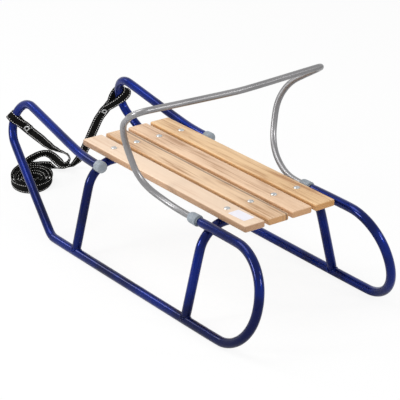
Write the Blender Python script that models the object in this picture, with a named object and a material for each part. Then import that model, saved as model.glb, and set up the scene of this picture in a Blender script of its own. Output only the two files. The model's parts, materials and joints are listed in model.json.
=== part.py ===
"""Metal sled: two bent-tube side frames on two arches, four wooden slats, a plug-in backrest hoop
and a webbing pull strap.  Metres, +X forwards, +Y to the left, +Z up, origin under the middle."""

import math

import bmesh
import bpy
from mathutils import Vector

MM = 0.001

# Fits
SEAT_GAP = 0.3 * MM            # between pieces that touch

# Tubes
FRAME_OD = 20.0 * MM
FRAME_WALL = 1.5 * MM
HOOP_OD = 13.5 * MM
ROUND_SIDES = 20
HOOP_SIDES = 16
BEND_STEP = math.radians(10.0)

SEAT_HEIGHT = 227.0 * MM       # top of the slats

# Side frames: each is one tube bent in a plane that leans inwards
RUNNER_SPACING = 387.0 * MM    # between the runners' centre lines
SIDE_LEAN = math.radians(14.3)
RAIL_DROP = 21.0 * MM          # centre of the side rails below the seat's top
RAIL_FRONT_END = 170.0 * MM    # all places along the sled are from the seat's datum
RAIL_RISE_START = 231.0 * MM
RAIL_RISE_RADIUS = 400.0 * MM
HORN_FORWARD = 479.0 * MM
HORN_RISE = 51.5 * MM          # above the rails
HORN_RADIUS = 50.0 * MM
NOSE_FORWARD = 546.0 * MM
NOSE_DROP = 15.0 * MM          # below the rails
NOSE_RADIUS = 56.0 * MM
TOE_FORWARD = 289.0 * MM
TOE_RADIUS = 48.0 * MM
HEEL_BACK = 431.0 * MM
HEEL_RADIUS = 96.0 * MM
TAIL_BACK = 401.5 * MM
TAIL_RADIUS = 99.0 * MM
RAIL_REAR_END = 191.0 * MM     # behind the datum
SOCKET_DEPTH = 70.0 * MM
CAP_SOCKET_DEPTH = 26.0 * MM

# Arches that carry the seat
FRONT_ARCH_FORWARD = 191.0 * MM
REAR_ARCH_BACK = 212.0 * MM
STRAIGHT_CUTTER = 100.0 * MM    # length of the round cutters

# Slats
SLAT_COUNT = 4
SLAT_WIDTH = 50.0 * MM
SLAT_THICKNESS = 15.0 * MM
SLAT_PITCH = 59.5 * MM
SLAT_FRONT = 276.0 * MM
SLAT_REAR_BACK = 304.0 * MM
SLAT_EDGE_ROUND = 4.0 * MM
SLAT_EDGE_STEPS = 3

# Collars where the hoop plugs into the rails
COLLAR_OD = 24.0 * MM
COLLAR_HEAD = 28.0 * MM
COLLAR_SLEEVE = 30.0 * MM
COLLAR_ROUND = 3.0 * MM
HOOP_CLEARANCE = 0.5 * MM
HOOP_INSERTION = 62.0 * MM

# Caps on the front rail ends
CAP_OD = 26.0 * MM
CAP_HEAD = 17.0 * MM
CAP_PLUG = 20.0 * MM
CAP_ROUND = 7.0 * MM
CAP_DOME = 2.5 * MM

# Backrest hoop: its bends' corner points, back from the datum and up from the rails
HOOP_TOE_BACK = 107.0 * MM
HOOP_TOE_RADIUS = 150.0 * MM
HOOP_KNEE_BACK = 25.0 * MM
HOOP_KNEE_OUT = 172.0 * MM
HOOP_KNEE_RISE = 36.0 * MM
HOOP_KNEE_RADIUS = 80.0 * MM
HOOP_WAIST_BACK = 4.0 * MM
HOOP_WAIST_OUT = 204.0 * MM
HOOP_WAIST_RISE = 155.0 * MM
HOOP_WAIST_RADIUS = 92.0 * MM
HOOP_CORNER_BACK = 116.0 * MM
HOOP_CORNER_OUT = 247.0 * MM
HOOP_RISE = 228.5 * MM
HOOP_CORNER_RADIUS = 28.0 * MM
HOOP_BAR_BOW = 21.0 * MM
HOOP_BAR_RADIUS = 400.0 * MM

# Pull strap: flat webbing, looped round each front tube and rolled up on the ground in front
STRAP_WIDTH = 22.0 * MM
STRAP_THICKNESS = 2.0 * MM
STRAP_RUN_STEP = 16.0 * MM
LOOP_ABOVE_NOSE = 18.0 * MM    # the loops on the front tubes
LOOP_FACETS = 24
LOOP_STEEPEST = 0.25           # along the tube per length out of it
LOOP_SLACK = 2.6 * MM          # the tube bends inside the loop
STRAP_TAB_LEFT = 46.0 * MM     # straight, doubled webbing from the tube's centre line
STRAP_TAB_RIGHT = 72.0 * MM
EYELET_BEFORE_END = 8.0 * MM   # back from the tab's end
EYELET_OD = 10.0 * MM
EYELET_BORE = 4.0 * MM
EYELET_WALL = 0.8 * MM
ROLL_FORWARD = 602.0 * MM
ROLL_ACROSS = 50.0 * MM
ROLL_HALF_LENGTH = 74.0 * MM
ROLL_HALF_WIDTH = 51.0 * MM
ROLL_TURN = math.radians(-36.3)
ROLL_FACETS = 40
ROLL_LEFT_LANDING = math.radians(50.0)
ROLL_RIGHT_LANDING = math.radians(-12.0)
ROLL_APPROACH = 18.0 * MM

# Routes of the two runs of strap, from the seat's datum, chosen by eye; the first point gives
# the tab's direction
LEFT_RUN = [
    (0.505, 0.114, 0.178), (0.522, 0.073, 0.143), (0.542, 0.035, 0.108), (0.560, 0.002, 0.084),
    (0.576, -0.025, 0.066), (0.592, -0.047, 0.048), (0.607, -0.060, 0.031), (0.626, -0.063, 0.017),
    (0.652, -0.058, 0.014), (0.688, -0.045, 0.017), (0.704, -0.028, 0.018), (0.703, -0.008, 0.016),
    (0.690, 0.014, 0.013),
]
RIGHT_RUN = [
    (0.5465, -0.1228, 0.1595), (0.5605, -0.1113, 0.1325), (0.569, -0.1035, 0.1065),
    (0.5745, -0.0935, 0.081), (0.5765, -0.0795, 0.0565), (0.577, -0.0635, 0.037),
    (0.5825, -0.0465, 0.0205), (0.592, -0.030, 0.013), (0.608, -0.021, 0.012),
    (0.626, -0.016, 0.012),
]

FRAME_R = FRAME_OD / 2
RAIL_HEIGHT = SEAT_HEIGHT - RAIL_DROP
SLAT_BOTTOM = SEAT_HEIGHT - SLAT_THICKNESS
CROSSBAR_HEIGHT = SLAT_BOTTOM - SEAT_GAP - FRAME_R


def clear_scene():
    for old in list(bpy.data.objects):
        bpy.data.objects.remove(old, do_unlink=True)


def finish_material(name, colour, roughness, metallic):
    material = bpy.data.materials.new(name)
    material.use_nodes = True
    shader = material.node_tree.nodes["Principled BSDF"]
    shader.inputs["Base Color"].default_value = (*colour, 1.0)
    shader.inputs["Roughness"].default_value = roughness
    shader.inputs["Metallic"].default_value = metallic
    return material


def rounded_route(corners, radii):
    """Points along straight runs whose corners are rounded to the given radii."""
    points = [corners[0].copy()]
    for before, corner, after, radius in zip(corners, corners[1:], corners[2:], radii):
        back = (before - corner).normalized()
        on = (after - corner).normalized()
        turn = math.pi - back.angle(on)
        tangent = radius * math.tan(turn / 2)
        centre = corner + (back + on).normalized() * math.hypot(radius, tangent)
        spoke = (corner + back * tangent - centre) / radius
        steps = max(2, math.ceil(turn / BEND_STEP))
        for step in range(steps + 1):
            angle = turn * step / steps
            points.append(centre + radius * (spoke * math.cos(angle) - back * math.sin(angle)))
    points.append(corners[-1].copy())
    return points


def tangents_of(points):
    ends = [points[1] - points[0]]
    triples = zip(points, points[1:], points[2:])
    middle = [(b - a).normalized() + (c - b).normalized() for a, b, c in triples]
    return [t.normalized() for t in ends + middle + [points[-1] - points[-2]]]


def ring_frames(points, side_hint):
    """For each point a pair of axes across the route, carried along it without twist."""
    frames = []
    across = side_hint.copy()
    for tangent in tangents_of(points):
        across = (across - across.project(tangent)).normalized()
        frames.append((across.copy(), tangent.cross(across)))
    return frames


def round_rings(stations, sides):
    """Rings of corners round (point, frame, radius) stations."""
    turn = 2 * math.pi / sides
    return [
        [point + (across * math.cos(turn * k) + up * math.sin(turn * k)) * radius for k in range(sides)]
        for point, (across, up), radius in stations
    ]


def joined_rings(name, rings, material, closed=False):
    """Body skinned over its rings, capped at both ends, or closed on itself."""
    mesh_builder = bmesh.new()
    rings = [[mesh_builder.verts.new(corner) for corner in ring] for ring in rings]
    for first, second in zip(rings, rings[1:] + rings[:1] if closed else rings[1:]):
        for index in range(len(first)):
            follow = (index + 1) % len(first)
            mesh_builder.faces.new((first[index], first[follow], second[follow], second[index]))
    if not closed:
        mesh_builder.faces.new(list(reversed(rings[0])))
        mesh_builder.faces.new(rings[-1])
    return node_from(mesh_builder, name, material)


def straight_stations(profile, start, direction):
    """Stations along a straight axis from a profile of (distance, radius)."""
    frame = ring_frames([start, start + direction], Vector((0, 1, 0)))[0]
    return [(start + direction * along, frame, radius) for along, radius in profile]


def straight_cutter(name, middle, direction, radius, material):
    half = STRAIGHT_CUTTER / 2
    stations = straight_stations([(-half, radius), (half, radius)], middle, direction)
    return joined_rings(name, round_rings(stations, LOOP_FACETS), material)


def node_from(mesh_builder, name, material):
    bmesh.ops.recalc_face_normals(mesh_builder, faces=mesh_builder.faces)
    mesh = bpy.data.meshes.new(name)
    mesh_builder.to_mesh(mesh)
    mesh_builder.free()
    mesh.shade_smooth()
    mesh.set_sharp_from_angle(angle=math.radians(35.0))
    node = bpy.data.objects.new(name, mesh)
    bpy.context.scene.collection.objects.link(node)
    node.data.materials.append(material)
    return node


def cut(node, cutter, label):
    cutter.hide_render = True
    cutter.display_type = "WIRE"
    step = node.modifiers.new(label, "BOOLEAN")
    step.operation = "DIFFERENCE"
    step.solver = "EXACT"
    step.object = cutter


def lean_y(height):
    """Distance from the middle to a side frame's centre line at a height."""
    return RUNNER_SPACING / 2 - (height - FRAME_R) * math.tan(SIDE_LEAN)


def side_route():
    places = [
        (RAIL_FRONT_END, RAIL_HEIGHT), (RAIL_RISE_START, RAIL_HEIGHT),
        (HORN_FORWARD, RAIL_HEIGHT + HORN_RISE),
        (NOSE_FORWARD, RAIL_HEIGHT - NOSE_DROP), (TOE_FORWARD, FRAME_R), (-HEEL_BACK, FRAME_R),
        (-TAIL_BACK, RAIL_HEIGHT), (-RAIL_REAR_END, RAIL_HEIGHT),
    ]
    radii = [RAIL_RISE_RADIUS, HORN_RADIUS, NOSE_RADIUS, TOE_RADIUS, HEEL_RADIUS, TAIL_RADIUS]
    return rounded_route([Vector((x, lean_y(z), z)) for x, z in places], radii)


def middle_of(route):
    along = [point.x for point in route]
    return (max(along) + min(along)) / 2


MIDDLE_X = middle_of(side_route())


def mirrored(points, side):
    return [Vector((point.x, point.y * side, point.z)) for point in points]


def shifted(points):
    """From the seat's datum to the sled's own origin, under its middle."""
    return [point - Vector((MIDDLE_X, 0, 0)) for point in points]


def side_frame(name, side, material):
    """One bent tube, open at both ends to take the cap's plug and the hoop's sleeve."""
    route = mirrored(shifted(side_route()), side)
    frames = ring_frames(route, Vector((0, 1, 0)))
    bore = FRAME_R - FRAME_WALL
    front_in = route[0] + (route[1] - route[0]).normalized() * CAP_SOCKET_DEPTH
    rear_in = route[-1] + (route[-2] - route[-1]).normalized() * SOCKET_DEPTH
    stations = [(front_in, frames[0], bore), (route[0], frames[0], bore)]
    stations += [(point, frame, FRAME_R) for point, frame in zip(route, frames)]
    stations += [(route[-1], frames[-1], bore), (rear_in, frames[-1], bore)]
    return joined_rings(name, round_rings(stations, ROUND_SIDES), material)


def shoulder_radius():
    """Radius at which the rail, one tube away, just rests on the arch's shoulder."""
    corner = Vector((lean_y(CROSSBAR_HEIGHT), CROSSBAR_HEIGHT))
    foot = Vector((lean_y(FRAME_R), FRAME_R))
    rail = Vector((lean_y(RAIL_HEIGHT), RAIL_HEIGHT))
    leg = (foot - corner).normalized()
    bar = Vector((-1, 0))
    inward = (leg + bar).normalized()
    stretch = 1 / math.sin(leg.angle(bar) / 2)
    reach = rail - corner
    clear = FRAME_OD + SEAT_GAP
    a = stretch ** 2 - 1
    b = -2 * (stretch * reach.dot(inward) + clear)
    c = reach.length_squared - clear ** 2
    return (-b + math.sqrt(b * b - 4 * a * c)) / (2 * a)


def arch(name, forward, material):
    """A U-shaped tube whose coped feet stand on the runners."""
    foot = Vector((forward, lean_y(FRAME_R), FRAME_R))
    corner = Vector((forward, lean_y(CROSSBAR_HEIGHT), CROSSBAR_HEIGHT))
    corners = [foot, corner, *reversed(mirrored([foot, corner], -1))]
    route = shifted(rounded_route(corners, [shoulder_radius()] * 2))
    frames = ring_frames(route, Vector((1, 0, 0)))
    stations = [(point, frame, FRAME_R) for point, frame in zip(route, frames)]
    node = joined_rings(name, round_rings(stations, ROUND_SIDES), material)
    for hand, place in (("left", route[0]), ("right", route[-1])):
        along = Vector((1, 0, 0))
        cutter = straight_cutter(f"cope_{name}_{hand}", place, along, FRAME_R + SEAT_GAP, material)
        cut(node, cutter, f"{hand} cope")
    return node


def slat(name, across, material):
    length = SLAT_FRONT + SLAT_REAR_BACK
    ahead = (SLAT_FRONT - SLAT_REAR_BACK) / 2 - MIDDLE_X
    middle = Vector((ahead, across, SEAT_HEIGHT - SLAT_THICKNESS / 2))
    mesh_builder = bmesh.new()
    bmesh.ops.create_cube(mesh_builder, size=1.0)
    bmesh.ops.scale(mesh_builder, vec=(length, SLAT_WIDTH, SLAT_THICKNESS), verts=mesh_builder.verts)
    node = node_from(mesh_builder, name, material)
    node.location = middle
    rounding = node.modifiers.new("rounded edges", "BEVEL")
    rounding.width = SLAT_EDGE_ROUND
    rounding.segments = SLAT_EDGE_STEPS
    return node


def collar(name, side, material):
    """Sleeved plastic collar: its head stops on the rail's end, its sleeve fills the bore."""
    mouth = Vector((-RAIL_REAR_END - MIDDLE_X, side * lean_y(RAIL_HEIGHT), RAIL_HEIGHT))
    head = COLLAR_OD / 2
    bore = HOOP_OD / 2 + HOOP_CLEARANCE
    sleeve = FRAME_R - FRAME_WALL - SEAT_GAP
    top = SEAT_GAP + COLLAR_HEAD
    profile = [
        (-COLLAR_SLEEVE, bore), (-COLLAR_SLEEVE, sleeve), (SEAT_GAP, sleeve), (SEAT_GAP, head),
        (top - COLLAR_ROUND, head), (top - COLLAR_ROUND / 4, head - COLLAR_ROUND / 3),
        (top, head - COLLAR_ROUND), (top, bore),
    ]
    stations = straight_stations(profile, mouth, Vector((1, 0, 0)))
    return joined_rings(name, round_rings(stations, ROUND_SIDES), material, closed=True)


def front_cap(name, side, material):
    """Domed cap on the front rail's rear-facing end, with its plug in the bore."""
    end = Vector((RAIL_FRONT_END - MIDDLE_X, side * lean_y(RAIL_HEIGHT), RAIL_HEIGHT))
    head = CAP_OD / 2
    plug = FRAME_R - FRAME_WALL - SEAT_GAP
    outer = SEAT_GAP + CAP_HEAD
    profile = [(-CAP_PLUG, plug), (SEAT_GAP, plug), (SEAT_GAP, head)]
    quarter = [math.radians(angle) for angle in (0, 30, 60, 90)]
    profile += [
        (outer - CAP_DOME - CAP_ROUND * (1 - math.sin(angle)), head - CAP_ROUND * (1 - math.cos(angle)))
        for angle in quarter
    ]
    profile.append((outer, head / 4))
    stations = straight_stations(profile, end, Vector((-1, 0, 0)))
    return joined_rings(name, round_rings(stations, ROUND_SIDES), material)


def hoop_route():
    out = lean_y(RAIL_HEIGHT)
    start = Vector((-RAIL_REAR_END + SEAT_GAP + COLLAR_HEAD - HOOP_INSERTION, out, RAIL_HEIGHT))
    left = [
        start,
        Vector((-HOOP_TOE_BACK, out, RAIL_HEIGHT)),
        Vector((-HOOP_KNEE_BACK, HOOP_KNEE_OUT, RAIL_HEIGHT + HOOP_KNEE_RISE)),
        Vector((-HOOP_WAIST_BACK, HOOP_WAIST_OUT, RAIL_HEIGHT + HOOP_WAIST_RISE)),
        Vector((-HOOP_CORNER_BACK, HOOP_CORNER_OUT, RAIL_HEIGHT + HOOP_RISE)),
    ]
    middle = Vector((-HOOP_CORNER_BACK - HOOP_BAR_BOW, 0, RAIL_HEIGHT + HOOP_RISE))
    radii = [HOOP_TOE_RADIUS, HOOP_KNEE_RADIUS, HOOP_WAIST_RADIUS, HOOP_CORNER_RADIUS]
    corners = left + [middle] + list(reversed(mirrored(left, -1)))
    return shifted(rounded_route(corners, radii + [HOOP_BAR_RADIUS] + radii[::-1]))


def backrest_hoop(name, material):
    route = hoop_route()
    frames = ring_frames(route, Vector((0, 1, 0)))
    stations = [(point, frame, HOOP_OD / 2) for point, frame in zip(route, frames)]
    return joined_rings(name, round_rings(stations, HOOP_SIDES), material)


def smooth_run(points):
    """Points about a step apart on one smooth curve through the route's own points."""
    padded = [2 * points[0] - points[1], *points, 2 * points[-1] - points[-2]]
    run = []
    for a, b, c, d in zip(padded, padded[1:], padded[2:], padded[3:]):
        steps = max(1, round((c - b).length / STRAP_RUN_STEP))
        for step in range(steps):
            t = step / steps
            run.append(0.5 * (2 * b + (c - a) * t + (2 * a - 5 * b + 4 * c - d) * t ** 2
                              + (3 * b - a - 3 * c + d) * t ** 3))
    run.append(points[-1].copy())
    return run


def strap_anchor(side):
    """Where a loop sits on its front tube, and the tube's direction there."""
    route = mirrored(shifted(side_route()), side)
    height = RAIL_HEIGHT - NOSE_DROP + LOOP_ABOVE_NOSE
    above, below = next(pair for pair in zip(route, route[1:]) if pair[0].z >= height > pair[1].z)
    share = (above.z - height) / (above.z - below.z)
    return above.lerp(below, share), (below - above).normalized()


def strap_loop(name, side, pull, material):
    """The webbing's turn round the tube, slanted towards the pull of the strap."""
    place, tube = strap_anchor(side)
    toward = (pull - pull.project(tube)).normalized()
    sideways = tube.cross(toward)
    slant = min(pull.dot(tube) / pull.dot(toward), LOOP_STEEPEST)
    inner = FRAME_R + LOOP_SLACK
    sections = []
    for index in range(LOOP_FACETS):
        angle = 2 * math.pi * index / LOOP_FACETS
        spoke = toward * math.cos(angle) + sideways * math.sin(angle)
        around = -toward * math.sin(angle) + sideways * math.cos(angle)
        along = (around - tube * slant * math.sin(angle)).normalized()
        edge = spoke.cross(along).normalized() * STRAP_WIDTH / 2
        centre = place + spoke * inner + tube * slant * inner * math.cos(angle)
        outer = spoke * STRAP_THICKNESS
        sections.append([centre - edge, centre + edge, centre + edge + outer, centre - edge + outer])
    return joined_rings(name, sections, material, closed=True)


def run_sections(points, width_at_tube, tab):
    """Along a run: point, direction across the webbing and out of its face, upright at the roll."""
    run = smooth_run(points)
    travel = [0.0]
    for before, after in zip(run, run[1:]):
        travel.append(travel[-1] + (after - before).length)
    sections = []
    for point, tangent, so_far in zip(run, tangents_of(run), travel):
        share = max(0.0, (so_far - tab) / (travel[-1] - tab))
        width = width_at_tube.lerp(Vector((0, 0, 1)), share)
        width = (width - width.project(tangent)).normalized()
        sections.append((point, width, tangent.cross(width)))
    return sections


def strap_run(name, sections, material):
    corners = []
    for point, width, face in sections:
        half, thin = width * STRAP_WIDTH / 2, face * STRAP_THICKNESS / 2
        corners.append([point - half - thin, point + half - thin, point + half + thin, point - half + thin])
    return joined_rings(name, corners, material)


def roll_landing(angle):
    """Last two points of a run that meets the roll along its tangent."""
    across = Vector((-math.sin(ROLL_TURN), math.cos(ROLL_TURN), 0))
    ahead = Vector((math.cos(ROLL_TURN), math.sin(ROLL_TURN), 0))
    middle = Vector((ROLL_FORWARD, ROLL_ACROSS, STRAP_WIDTH / 2 + SEAT_GAP))
    out = ahead * ROLL_HALF_LENGTH * math.cos(angle) + across * ROLL_HALF_WIDTH * math.sin(angle)
    along = across * ROLL_HALF_WIDTH * math.cos(angle) - ahead * ROLL_HALF_LENGTH * math.sin(angle)
    along.normalize()
    end = middle + out + along.cross(Vector((0, 0, 1))) * (STRAP_THICKNESS / 2 + SEAT_GAP)
    return [end - along * ROLL_APPROACH, end]


def eyelet(name, middle, face, material):
    """Rolled tube eyelet, its barrel through the webbing and a flange on each face."""
    deep = STRAP_THICKNESS / 2 + SEAT_GAP
    bore = EYELET_BORE / 2
    barrel = bore + EYELET_WALL
    flange = EYELET_OD / 2
    profile = [
        (-deep - EYELET_WALL, bore), (-deep - EYELET_WALL, flange), (-deep, flange), (-deep, barrel),
        (deep, barrel), (deep, flange), (deep + EYELET_WALL, flange), (deep + EYELET_WALL, bore),
    ]
    stations = straight_stations(profile, middle, face)
    return joined_rings(name, round_rings(stations, ROUND_SIDES), material, closed=True)


def strap_side(hand, side, length, route, landing, webbing, metal):
    """Loop, run and eyelet of one end of the strap."""
    place, tube = strap_anchor(side)
    route = shifted([Vector(point) for point in route])
    pull = (route[0] - place).normalized()
    width = (tube.project(pull) - tube).normalized()
    strap_loop(f"strap_loop_{hand}", side, pull, webbing)
    tab = [place, place + pull * length, place + pull * (length + EYELET_OD)]
    sections = run_sections(tab + route[1:] + shifted(roll_landing(landing)), width, length)
    run = strap_run(f"strap_run_{hand}", sections, webbing)
    clear = FRAME_R + LOOP_SLACK + STRAP_THICKNESS + SEAT_GAP
    cut(run, straight_cutter(f"loop_room_{hand}", place, tube, clear, webbing), "room for the loop")
    middle = place + pull * (length - EYELET_BEFORE_END)
    face = pull.cross(width)
    hole = EYELET_BORE / 2 + EYELET_WALL + SEAT_GAP
    cut(run, straight_cutter(f"eyelet_hole_{hand}", middle, face, hole, webbing), "eyelet hole")
    eyelet(f"strap_eyelet_{hand}", middle, face, metal)


def strap_roll(name, material):
    """Outer shape of the rolled-up webbing, standing on its edge on the ground."""
    centre = shifted([Vector((ROLL_FORWARD, ROLL_ACROSS, 0))])[0]
    ahead = Vector((math.cos(ROLL_TURN), math.sin(ROLL_TURN), 0)) * ROLL_HALF_LENGTH
    across = Vector((-math.sin(ROLL_TURN), math.cos(ROLL_TURN), 0)) * ROLL_HALF_WIDTH
    foot = round_rings([(centre, (ahead, across), 1.0)], ROLL_FACETS)[0]
    top = [corner + Vector((0, 0, STRAP_WIDTH)) for corner in foot]
    return joined_rings(name, [foot, top], material)


def main():
    clear_scene()
    blue = finish_material("blue_paint", (0.012, 0.022, 0.23), 0.3, 0.6)
    silver = finish_material("silver_paint", (0.42, 0.43, 0.44), 0.3, 0.8)
    grey = finish_material("grey_plastic", (0.33, 0.37, 0.41), 0.45, 0.0)
    wood = finish_material("varnished_wood", (0.82, 0.55, 0.28), 0.4, 0.0)
    for side, hand in ((1, "left"), (-1, "right")):
        side_frame(f"side_frame_{hand}", side, blue)
        collar(f"hoop_collar_{hand}", side, grey)
        front_cap(f"front_cap_{hand}", side, grey)
    arch("front_arch", FRONT_ARCH_FORWARD, blue)
    arch("rear_arch", -REAR_ARCH_BACK, blue)
    for index in range(SLAT_COUNT):
        across = ((SLAT_COUNT - 1) / 2 - index) * SLAT_PITCH
        slat(f"slat_{index + 1}", across, wood)
    backrest_hoop("backrest_hoop", silver)
    webbing = finish_material("black_webbing", (0.012, 0.012, 0.013), 0.85, 0.0)
    metal = finish_material("nickelled_brass", (0.6, 0.6, 0.58), 0.3, 1.0)
    strap_side("left", 1, STRAP_TAB_LEFT, LEFT_RUN, ROLL_LEFT_LANDING, webbing, metal)
    strap_side("right", -1, STRAP_TAB_RIGHT, RIGHT_RUN, ROLL_RIGHT_LANDING, webbing, metal)
    strap_roll("strap_roll", webbing)


main()
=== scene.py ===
"""Finish of a metal sled: painted bent tubes, varnished slats, plugged hoop, sewn webbing strap."""

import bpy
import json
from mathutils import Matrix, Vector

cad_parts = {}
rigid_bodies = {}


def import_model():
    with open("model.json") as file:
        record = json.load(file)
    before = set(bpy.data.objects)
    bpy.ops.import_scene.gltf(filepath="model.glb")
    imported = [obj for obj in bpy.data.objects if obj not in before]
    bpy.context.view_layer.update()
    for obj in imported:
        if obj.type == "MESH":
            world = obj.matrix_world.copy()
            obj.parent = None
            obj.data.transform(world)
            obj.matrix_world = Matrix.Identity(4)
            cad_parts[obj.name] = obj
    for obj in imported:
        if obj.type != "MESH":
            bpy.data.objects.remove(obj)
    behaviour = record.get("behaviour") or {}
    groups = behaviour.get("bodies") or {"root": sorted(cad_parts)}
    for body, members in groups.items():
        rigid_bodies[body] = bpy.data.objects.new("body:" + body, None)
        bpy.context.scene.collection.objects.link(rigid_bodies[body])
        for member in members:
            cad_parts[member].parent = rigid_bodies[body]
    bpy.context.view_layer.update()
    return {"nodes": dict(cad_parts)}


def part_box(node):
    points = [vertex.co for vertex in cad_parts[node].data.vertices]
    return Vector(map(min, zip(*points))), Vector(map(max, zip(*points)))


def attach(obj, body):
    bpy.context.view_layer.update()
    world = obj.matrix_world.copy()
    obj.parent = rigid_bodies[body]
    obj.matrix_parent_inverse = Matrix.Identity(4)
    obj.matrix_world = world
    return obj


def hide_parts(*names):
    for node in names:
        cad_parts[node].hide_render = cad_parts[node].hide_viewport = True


bl_info = {
    "name": "Metal Sled Finish",
    "version": (1, 0, 0),
    "blender": (4, 5, 0),
    "location": "3D View > Sidebar > Sled",
    "description": "Dresses a bare sled frame with painted tube, wood, plastic, webbing and steel",
    "category": "Object",
}

import json
from math import atan2, cos, pi, radians, sin

import bmesh
import bpy
from bpy.props import FloatProperty, FloatVectorProperty, PointerProperty
from mathutils import Vector

for leftover in list(bpy.data.objects):
    bpy.data.objects.remove(leftover, do_unlink=True)

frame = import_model()

MM = 0.001
X = Vector((1, 0, 0))
Y = Vector((0, 1, 0))
Z = Vector((0, 0, 1))
SIDES = (("left", 1), ("right", -1))


def box_middle(node):
    low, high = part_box(node)
    return (low + high) / 2


def box_size(node):
    low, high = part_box(node)
    return high - low


FRONT_ARCH_FORWARD = 191 * MM
DATUM = Vector((box_middle("front_arch").x - FRONT_ARCH_FORWARD, 0, 0))
TUBE_R = box_size("front_arch").x / 2
SEAT_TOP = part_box("slat_1")[1].z
ARCHES = ("front_arch", "rear_arch")
WHITE = (1, 1, 1, 1)
TUBE_FACETS = 20
HOOP_R = 6.75 * MM
HOOP_FACETS = 16
CAP_HEAD = 17 * MM


def sled_sizes():
    return bpy.context.scene.sled_sizes


def length_property(name, description, default):
    """A length whose default is given in millimetres."""
    return FloatProperty(name=name, description=description, default=default * MM, unit="LENGTH")


def colour_property(name, description, default):
    return FloatVectorProperty(name=name, description=description, default=default, size=3,
                               subtype="COLOR")


class SledSizes(bpy.types.PropertyGroup):
    weld_bead: length_property("Weld bead", "Radius of the weld beads", 1.7)
    bolt_head: length_property("Bolt head", "Diameter of the slats' bolt heads", 13.5)
    slat_round: length_property("Slat rounding", "Rounding of the slats' edges", 3.6)
    strap_width: length_property("Strap width", "Width of the webbing", 22)
    strap_thickness: length_property("Strap thickness", "Thickness of the webbing", 1.9)
    stitch_length: length_property("Stitch length", "Length of one visible stitch", 2.9)
    stitch_pitch: length_property("Stitch pitch", "From one stitch to the next", 5.7)
    thread_radius: length_property("Thread radius", "Radius of the sewing thread", 0.84)
    roll_turns: FloatProperty(name="Roll turns", description="Turns of doubled strap", default=2.6)
    sticker_length: length_property("Sticker length", "Blank label along the slat", 50)
    sticker_width: length_property("Sticker width", "Blank label across the slat", 28)


class SledColours(bpy.types.PropertyGroup):
    paint: colour_property("Blue paint", "Frame colour", (0.0006, 0.013, 0.168))
    # The deep blue is also used as painted shade on the tube near the floor.
    paint_deep_and_shade: colour_property("Deep blue", "Frame colour in the paint's depth", (0.0003, 0.001, 0.014))
    silver: colour_property("Silver paint", "Hoop colour", (0.27, 0.266, 0.272))
    plastic: colour_property("Grey plastic", "Caps and collars", (0.28, 0.32, 0.36))
    webbing: colour_property("Webbing", "Strap yarn", (0.004, 0.0038, 0.0036))
    thread: colour_property("Thread", "Sewing thread", (0.95, 0.94, 0.91))
    steel: colour_property("Zinc", "Bolts and eyelets", (0.52, 0.53, 0.53))
    paper: colour_property("Paper", "Blank label", (0.86, 0.84, 0.91))


def maths(operation, swapped=False):
    """A method that puts a Math node on a signal and what it is called with."""

    def method(self, *others):
        values = (*others, self) if swapped else (self, *others)
        return self.graph.node("ShaderNodeMath", {"operation": operation}, dict(enumerate(values)))

    return method


class Signal:
    """An output of a node: an expression on it adds Math nodes."""

    def __init__(self, graph, socket):
        self.graph = graph
        self.socket = socket

    __add__ = __radd__ = maths("ADD")
    __sub__ = maths("SUBTRACT")
    __rsub__ = maths("SUBTRACT", swapped=True)
    __mul__ = __rmul__ = maths("MULTIPLY")
    __truediv__ = maths("DIVIDE")
    __pow__ = maths("POWER")
    __abs__ = maths("ABSOLUTE")
    sine = maths("SINE")
    larger = maths("MAXIMUM")

    def wave(self):
        """Its sine, brought to 0 to 1."""
        return self.sine() * 0.5 + 0.5

    def axis(self, index):
        """One coordinate of a place or direction."""
        return self.graph.node("ShaderNodeSeparateXYZ", {}, {0: self}, index)

    def ramp(self, low, high):
        """0 below low, 1 above high, smooth between."""
        settings = {"interpolation_type": "SMOOTHSTEP"}
        return self.graph.node("ShaderNodeMapRange", settings, {0: self, 1: low, 2: high})


class Graph:
    """The shader nodes of a material or a world."""

    def __init__(self, owner, end):
        owner.use_nodes = True
        self.tree = owner.node_tree
        self.end = self.tree.nodes[end]

    def node(self, kind, settings=None, inputs=None, output=0):
        """Adds a node, sets it, then feeds its sockets with values or links."""
        made = self.tree.nodes.new(kind)
        for key, value in (settings or {}).items():
            setattr(made, key, value)
        for key, value in (inputs or {}).items():
            if isinstance(value, Signal):
                self.tree.links.new(value.socket, made.inputs[key])
            else:
                made.inputs[key].default_value = value
        return Signal(self, made.outputs[output])

    def show_mix(self, amount, first, second):
        """Sends a mix of two shaders to the surface."""
        mix = self.node("ShaderNodeMixShader", {}, {0: amount, 1: first, 2: second})
        self.tree.links.new(mix.socket, self.end.inputs["Surface"])


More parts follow.
